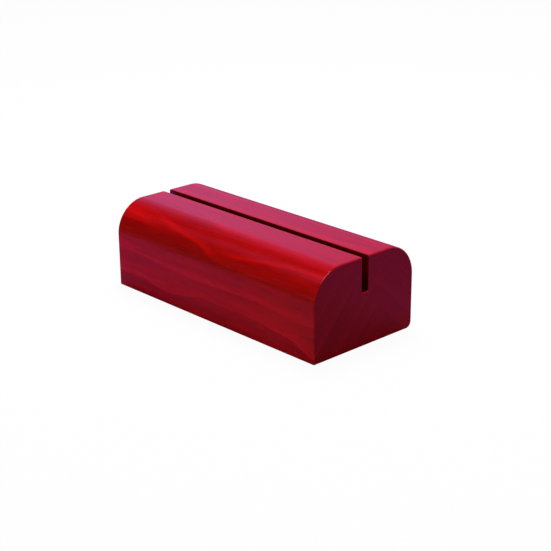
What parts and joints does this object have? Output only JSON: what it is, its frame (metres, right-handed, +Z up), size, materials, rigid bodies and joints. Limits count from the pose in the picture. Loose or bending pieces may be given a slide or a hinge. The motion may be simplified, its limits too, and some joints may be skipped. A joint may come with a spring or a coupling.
{
  "type": "photo block holder",
  "caption": "Solid block of red-stained, lacquered wood with long rounded top edges and a straight slot along its top that holds a photo or card upright.",
  "frame": {"origin": "middle of the underside, on the surface the block stands on", "axes": "+X along the slot and the block's length, +Y from the front to the back, +Z up"},
  "size_m": [0.15, 0.0686, 0.0463],
  "materials": {
    "stained_wood": "red wood stain under clear satin lacquer, with the grain showing through"
  },
  "bodies": {
    "root": {"wood_block": "stained_wood"}
  },
  "joints": []
}
